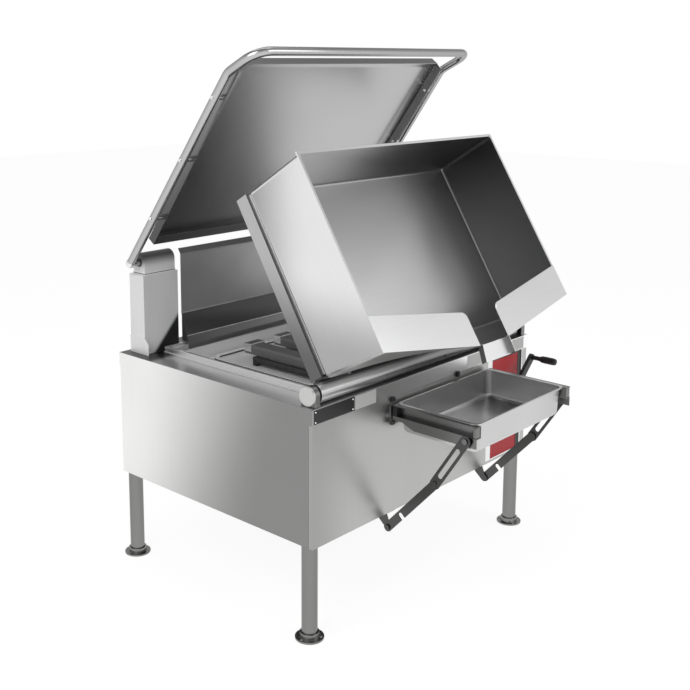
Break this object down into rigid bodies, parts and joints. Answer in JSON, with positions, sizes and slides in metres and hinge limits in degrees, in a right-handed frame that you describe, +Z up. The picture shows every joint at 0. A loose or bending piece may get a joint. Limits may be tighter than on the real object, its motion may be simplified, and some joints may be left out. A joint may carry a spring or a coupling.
{
  "type": "tilting skillet",
  "caption": "Floor-standing gas tilting skillet: deep pan on a torque tube, lift-up cover, crank tilt drive and a fold-down rail shelf with a receiving tray.",
  "frame": {"origin": "on the floor, in the middle of the four feet", "axes": "+X to the right as seen from the front, +Y to the back, +Z up; the front faces -Y"},
  "size_m": [1.234, 1.27, 1.8108],
  "materials": {
    "brushed_steel": "brushed",
    "polished_steel": "polished",
    "pan_steel": "satin",
    "plain_steel": "mill",
    "cast_iron": "rough",
    "red_paint": "gloss",
    "black_paint": "satin",
    "black_plastic": "matt"
  },
  "bodies": {
    "cabinet": {"base_frame": "plain_steel", "burner_1": "cast_iron", "burner_2": "cast_iron", "burner_3": "cast_iron", "burner_4": "cast_iron", "burner_curb": "brushed_steel", "burner_rack": "plain_steel", "burner_tray": "plain_steel", "column_left": "brushed_steel", "column_right": "brushed_steel", "console_frame": "black_paint", "control_panel": "red_paint", "deck_top": "brushed_steel", "foot_front_left": "brushed_steel", "foot_front_right": "brushed_steel", "foot_rear_left": "brushed_steel", "foot_rear_right": "brushed_steel", "front_panel": "polished_steel", "gas_manifold": "plain_steel", "hood_left": "brushed_steel", "hood_right": "brushed_steel", "leg_front_left": "brushed_steel", "leg_front_right": "brushed_steel", "leg_rear_left": "brushed_steel", "leg_rear_right": "brushed_steel", "pivot_block_left": "brushed_steel", "pivot_block_right": "brushed_steel", "rear_panel": "brushed_steel", "shelf_bracket_left": "brushed_steel", "shelf_bracket_right": "brushed_steel", "side_panel_left": "brushed_steel", "side_panel_right": "brushed_steel", "splash_panel": "brushed_steel", "strut_foot_left": "brushed_steel", "strut_foot_right": "brushed_steel", "switch_box": "black_paint", "tilt_gearbox": "plain_steel"},
    "pan": {"pan_shell": "pan_steel", "splash_lip_left": "brushed_steel", "splash_lip_right": "brushed_steel", "pour_spout": "brushed_steel", "heating_plate": "plain_steel", "base_skirt": "brushed_steel", "torque_tube": "polished_steel"},
    "cover": {"cover_shell": "pan_steel", "handle_tube": "polished_steel"},
    "crank": {"crank_arm": "black_paint"},
    "grip": {"crank_grip": "black_plastic"},
    "gear_output": {"output_arm": "plain_steel"},
    "rod": {"coupling_rod": "plain_steel"},
    "tray": {"receiving_tray": "brushed_steel"},
    "knob": {"thermostat_knob": "black_plastic"},
    "switch": {"power_switch": "black_plastic"},
    "shelf": {"shelf_rail_left": "brushed_steel", "shelf_rail_right": "brushed_steel", "shelf_hinge_rod": "brushed_steel"},
    "left_lower_strut": {"lower_strut_left": "brushed_steel"},
    "right_lower_strut": {"lower_strut_right": "brushed_steel"},
    "left_upper_strut": {"upper_strut_left": "brushed_steel"},
    "right_upper_strut": {"upper_strut_right": "brushed_steel"}
  },
  "joints": [
    {"name": "pan_tilt", "type": "hinge", "parent": "cabinet", "child": "pan", "pos_m": [0, -0.432, 0.783], "axis": [1, 0, 0], "range_deg": [-58.5, 16.5]},
    {"name": "cover_lift", "type": "hinge", "parent": "cabinet", "child": "cover", "pos_m": [0, 0.412, 1.073], "axis": [-1, 0, 0], "range_deg": [-15, 21.4]},
    {"name": "crank_turn", "type": "hinge", "parent": "cabinet", "child": "crank", "pos_m": [0.49, -0.48, 0.604], "axis": [0, 1, 0], "range_deg": [-2340, 660]},
    {"name": "crank_grip_spin", "type": "hinge", "parent": "crank", "child": "grip", "pos_m": [0.566, -0.56, 0.675], "axis": [0, 1, 0], "continuous": true},
    {"name": "output_arm_turn", "type": "hinge", "parent": "cabinet", "child": "gear_output", "pos_m": [0.5, -0.405, 0.654], "axis": [1, 0, 0], "range_deg": [-58.5, 16.5]},
    {"name": "coupling_rod_pivot", "type": "hinge", "parent": "pan", "child": "rod", "pos_m": [0.551, -0.3783, 0.75623], "axis": [1, 0, 0], "range_deg": [-16.5, 58.5]},
    {"name": "shelf_fold", "type": "hinge", "parent": "cabinet", "child": "shelf", "pos_m": [0.048, -0.478, 0.622], "axis": [1, 0, 0], "range_deg": [0, 90]},
    {"name": "tray_slide", "type": "slide", "parent": "cabinet", "child": "tray", "axis": [0, -1, 0], "range_m": [0, 0.33]},
    {"name": "thermostat_turn", "type": "hinge", "parent": "cabinet", "child": "knob", "pos_m": [0.43, -0.47, 0.545], "axis": [0, 1, 0], "range_deg": [0, 270]},
    {"name": "power_press", "type": "slide", "parent": "cabinet", "child": "switch", "axis": [0, 1, 0], "range_m": [0, 0.003], "stiffness_N_per_m": 400},
    {"name": "left_lower_strut_pivot", "type": "hinge", "parent": "cabinet", "child": "left_lower_strut", "pos_m": [-0.236, -0.466, 0.262], "axis": [1, 0, 0], "range_deg": [-27, 0]},
    {"name": "left_upper_strut_pivot", "type": "hinge", "parent": "shelf", "child": "left_upper_strut", "pos_m": [-0.241, -0.763, 0.632], "axis": [1, 0, 0], "range_deg": [0, 74]},
    {"name": "right_lower_strut_pivot", "type": "hinge", "parent": "cabinet", "child": "right_lower_strut", "pos_m": [0.332, -0.466, 0.262], "axis": [1, 0, 0], "range_deg": [-27, 0]},
    {"name": "right_upper_strut_pivot", "type": "hinge", "parent": "shelf", "child": "right_upper_strut", "pos_m": [0.337, -0.763, 0.632], "axis": [1, 0, 0], "range_deg": [0, 74]}
  ],
  "couplings": [
    {"joint": "crank_turn", "follows": "pan_tilt", "ratio": 40},
    {"joint": "output_arm_turn", "follows": "pan_tilt", "ratio": 1},
    {"joint": "coupling_rod_pivot", "follows": "pan_tilt", "ratio": -1},
    {"joint": "left_lower_strut_pivot", "follows": "shelf_fold", "ratio": -0.2983},
    {"joint": "left_upper_strut_pivot", "follows": "shelf_fold", "ratio": 0.8189},
    {"joint": "right_lower_strut_pivot", "follows": "shelf_fold", "ratio": -0.2983},
    {"joint": "right_upper_strut_pivot", "follows": "shelf_fold", "ratio": 0.8189}
  ]
}
